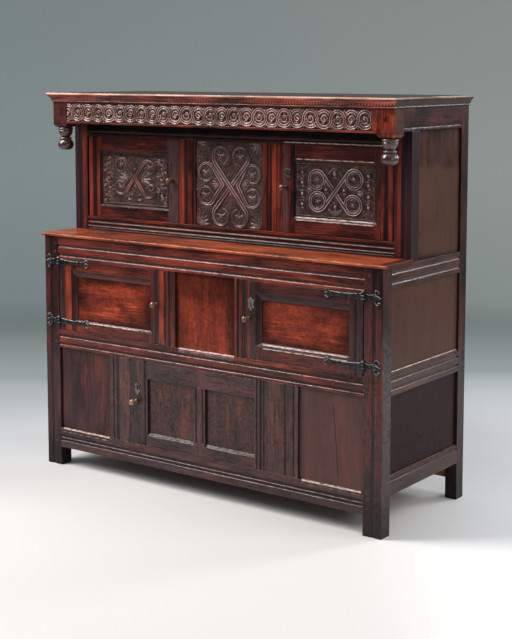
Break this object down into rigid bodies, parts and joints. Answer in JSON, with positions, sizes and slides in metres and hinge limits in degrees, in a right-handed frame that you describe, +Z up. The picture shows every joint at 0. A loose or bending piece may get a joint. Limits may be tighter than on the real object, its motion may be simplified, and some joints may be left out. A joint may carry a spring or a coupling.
{
  "type": "court cupboard",
  "caption": "Joined oak court cupboard with hinged doors, carved panels and frieze, corner pendants and wrought-iron strap hinges.",
  "frame": {"origin": "on the floor under the centre of the bounding box", "axes": "+X to the right seen from the front, front towards -Y, +Z up"},
  "size_m": [1.642, 0.635, 1.522],
  "materials": {
    "frame_oak": "old dark polished oak",
    "panel_oak": "dark polished oak, warmer",
    "carved_oak": "blackened carved oak with rubbed highs",
    "shelf_oak": "worn waxed oak",
    "plain_oak": "dry unpolished oak",
    "turned_knob": "handled fruitwood",
    "wrought_iron": "blackened wrought iron"
  },
  "bodies": {
    "carcase": {"back_boards": "plain_oak", "bottom_rail": "frame_oak", "corner_blocks": "frame_oak", "cornice_moulding": "frame_oak", "door_stops": "plain_oak", "floor_boards": "plain_oak", "frieze_rail": "frame_oak", "frieze_side_rails": "frame_oak", "front_post_left": "frame_oak", "front_post_right": "frame_oak", "hinge_jamb": "frame_oak", "lower_muntins": "frame_oak", "lower_panels": "panel_oak", "middle_muntins": "frame_oak", "middle_panel": "panel_oak", "middle_rail": "frame_oak", "oak_pegs": "frame_oak", "pendants": "frame_oak", "pivot_pins": "wrought_iron", "post_hinge_leaves": "wrought_iron", "rear_post_left": "frame_oak", "rear_post_right": "frame_oak", "rear_rails": "plain_oak", "shelf_boards": "shelf_oak", "side_panels": "panel_oak", "side_rails": "frame_oak", "top_boards": "plain_oak", "upper_bottom_rail": "frame_oak", "upper_muntins": "frame_oak", "upper_panel": "carved_oak", "upper_stile_left": "frame_oak", "upper_stile_right": "frame_oak", "upper_top_rail": "frame_oak", "waist_rail": "frame_oak"},
    "upper_left_door": {"upper_left_door_frame": "frame_oak", "upper_left_door_knob": "turned_knob", "upper_left_door_lock": "wrought_iron", "upper_left_door_panel": "carved_oak"},
    "upper_right_door": {"upper_right_door_frame": "frame_oak", "upper_right_door_knob": "turned_knob", "upper_right_door_lock": "wrought_iron", "upper_right_door_panel": "carved_oak"},
    "middle_left_door": {"middle_left_door_frame": "frame_oak", "middle_left_door_panel": "panel_oak", "middle_left_door_straps": "wrought_iron"},
    "middle_right_door": {"middle_right_door_frame": "frame_oak", "middle_right_door_knob": "turned_knob", "middle_right_door_lock": "wrought_iron", "middle_right_door_panel": "panel_oak", "middle_right_door_straps": "wrought_iron"},
    "lower_door": {"lower_door_frame": "frame_oak", "lower_door_knob": "turned_knob", "lower_door_lock": "wrought_iron", "lower_door_panel": "panel_oak"},
    "upper_left_door_bolt": {"upper_left_door_bolt": "wrought_iron"},
    "upper_right_door_bolt": {"upper_right_door_bolt": "wrought_iron"},
    "middle_right_door_bolt": {"middle_right_door_bolt": "wrought_iron"},
    "lower_door_bolt": {"lower_door_bolt": "wrought_iron"},
    "middle_left_catch": {"middle_left_door_knob": "turned_knob", "middle_left_door_catch": "plain_oak"}
  },
  "joints": [
    {"name": "upper_left_door_hinge", "type": "hinge", "parent": "carcase", "child": "upper_left_door", "pos_m": [-0.7175, -0.0865, 1.18], "axis": [0, 0, -1], "range_deg": [0, 88]},
    {"name": "upper_right_door_hinge", "type": "hinge", "parent": "carcase", "child": "upper_right_door", "pos_m": [0.7175, -0.0865, 1.18], "axis": [0, 0, 1], "range_deg": [0, 88]},
    {"name": "middle_left_door_hinge", "type": "hinge", "parent": "carcase", "child": "middle_left_door", "pos_m": [-0.7225, -0.2885, 0.71], "axis": [0, 0, -1], "range_deg": [0, 160]},
    {"name": "middle_right_door_hinge", "type": "hinge", "parent": "carcase", "child": "middle_right_door", "pos_m": [0.7225, -0.2885, 0.71], "axis": [0, 0, 1], "range_deg": [0, 160]},
    {"name": "lower_door_hinge", "type": "hinge", "parent": "carcase", "child": "lower_door", "pos_m": [0.2755, -0.2705, 0.325], "axis": [0, 0, 1], "range_deg": [0, 92]},
    {"name": "upper_left_door_bolt_throw", "type": "slide", "parent": "upper_left_door", "child": "upper_left_door_bolt", "axis": [1, 0, 0], "range_m": [0, 0.012]},
    {"name": "upper_right_door_bolt_throw", "type": "slide", "parent": "upper_right_door", "child": "upper_right_door_bolt", "axis": [-1, 0, 0], "range_m": [0, 0.012]},
    {"name": "middle_right_door_bolt_throw", "type": "slide", "parent": "middle_right_door", "child": "middle_right_door_bolt", "axis": [-1, 0, 0], "range_m": [0, 0.012]},
    {"name": "lower_door_bolt_throw", "type": "slide", "parent": "lower_door", "child": "lower_door_bolt", "axis": [-1, 0, 0], "range_m": [0, 0.012]},
    {"name": "middle_left_catch_turn", "type": "hinge", "parent": "middle_left_door", "child": "middle_left_catch", "pos_m": [-0.206, -0.2825, 0.722], "axis": [0, -1, 0], "range_deg": [0, 90]}
  ]
}
